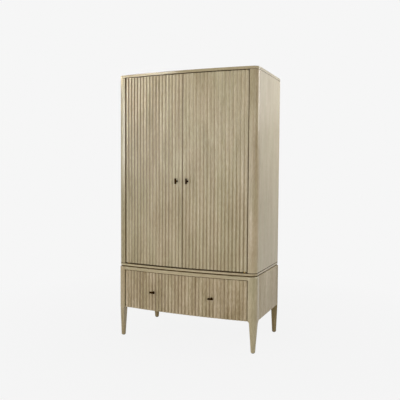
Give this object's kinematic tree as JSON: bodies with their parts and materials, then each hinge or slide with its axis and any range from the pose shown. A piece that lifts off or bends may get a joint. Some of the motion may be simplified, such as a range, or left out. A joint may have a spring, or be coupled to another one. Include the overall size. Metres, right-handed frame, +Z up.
{
  "type": "wardrobe",
  "caption": "Free-standing wardrobe with reeded bow-front doors over a wide reeded drawer, rounded corners, hanging rail and hat shelf inside, on tapered round legs.",
  "frame": {"origin": "on the floor, under the middle of the overall box (door knobs and base back included)", "axes": "+Z up, +Y to the back (the doors face -Y), +X to the right seen from the front"},
  "size_m": [1.115, 0.6773, 2],
  "materials": {
    "oak": "limed and matt lacquered",
    "oak_core": "limed and matt lacquered",
    "inner_wood": "matt lacquered",
    "back_board": "veneered board",
    "box_wood": "sealed plain wood",
    "bronze": "dark bronze",
    "steel": "zinc plated",
    "brass": "turned",
    "nylon": "moulded"
  },
  "bodies": {
    "cabinet": {"back_panel": "back_board", "base_back": "back_board", "base_bolts": "steel", "base_front_rail": "oak", "base_lower_rail": "inner_wood", "base_top_board": "inner_wood", "bottom_board": "oak", "bottom_pivots": "brass", "carcass_dowels": "box_wood", "door_catches": "nylon", "foot_glides": "nylon", "front_left_leg": "oak", "front_right_leg": "oak", "hanging_rail": "steel", "hat_shelf": "inner_wood", "left_base_side": "oak", "left_front_stile": "oak", "left_rear_post": "oak", "left_side_panel": "oak", "outer_runners": "steel", "pivot_screws": "steel", "rail_sockets": "steel", "rear_left_leg": "oak", "rear_right_leg": "oak", "right_base_side": "oak", "right_front_stile": "oak", "right_rear_post": "oak", "right_side_panel": "oak", "runner_battens": "inner_wood", "runner_screws": "steel", "shadow_strips": "inner_wood", "shelf_pins": "steel", "socket_screws": "steel", "top_panel": "oak", "top_pivots": "brass"},
    "left_door": {"left_door_bushes": "brass", "left_door_core": "oak_core", "left_door_knob": "bronze", "left_door_knob_screw": "steel", "left_door_reeds": "oak", "left_door_strike": "steel"},
    "right_door": {"right_door_bushes": "brass", "right_door_core": "oak_core", "right_door_knob": "bronze", "right_door_knob_screw": "steel", "right_door_reeds": "oak", "right_door_strike": "steel"},
    "drawer": {"drawer_back": "box_wood", "drawer_bottom": "box_wood", "drawer_front_core": "oak_core", "drawer_knob_screws": "steel", "drawer_knobs": "bronze", "drawer_left_side": "box_wood", "drawer_reeds": "oak", "drawer_right_side": "box_wood", "drawer_runner_screws": "steel", "inner_runners": "steel"},
    "left_middle_runner": {"left_middle_runner": "steel"},
    "right_middle_runner": {"right_middle_runner": "steel"}
  },
  "joints": [
    {"name": "left_door_hinge", "type": "hinge", "parent": "cabinet", "child": "left_door", "pos_m": [-0.46717, -0.26662, 0.5765], "axis": [0, 0, -1], "range_deg": [0, 105]},
    {"name": "right_door_hinge", "type": "hinge", "parent": "cabinet", "child": "right_door", "pos_m": [0.46717, -0.26662, 0.5765], "axis": [0, 0, 1], "range_deg": [0, 105]},
    {"name": "drawer_slide", "type": "slide", "parent": "cabinet", "child": "drawer", "axis": [0, -1, 0], "range_m": [0, 0.4]},
    {"name": "left_runner_slide", "type": "slide", "parent": "cabinet", "child": "left_middle_runner", "axis": [0, -1, 0], "range_m": [0, 0.2]},
    {"name": "right_runner_slide", "type": "slide", "parent": "cabinet", "child": "right_middle_runner", "axis": [0, -1, 0], "range_m": [0, 0.2]}
  ],
  "couplings": [
    {"joint": "left_runner_slide", "follows": "drawer_slide", "ratio": 0.5},
    {"joint": "right_runner_slide", "follows": "drawer_slide", "ratio": 0.5}
  ]
}
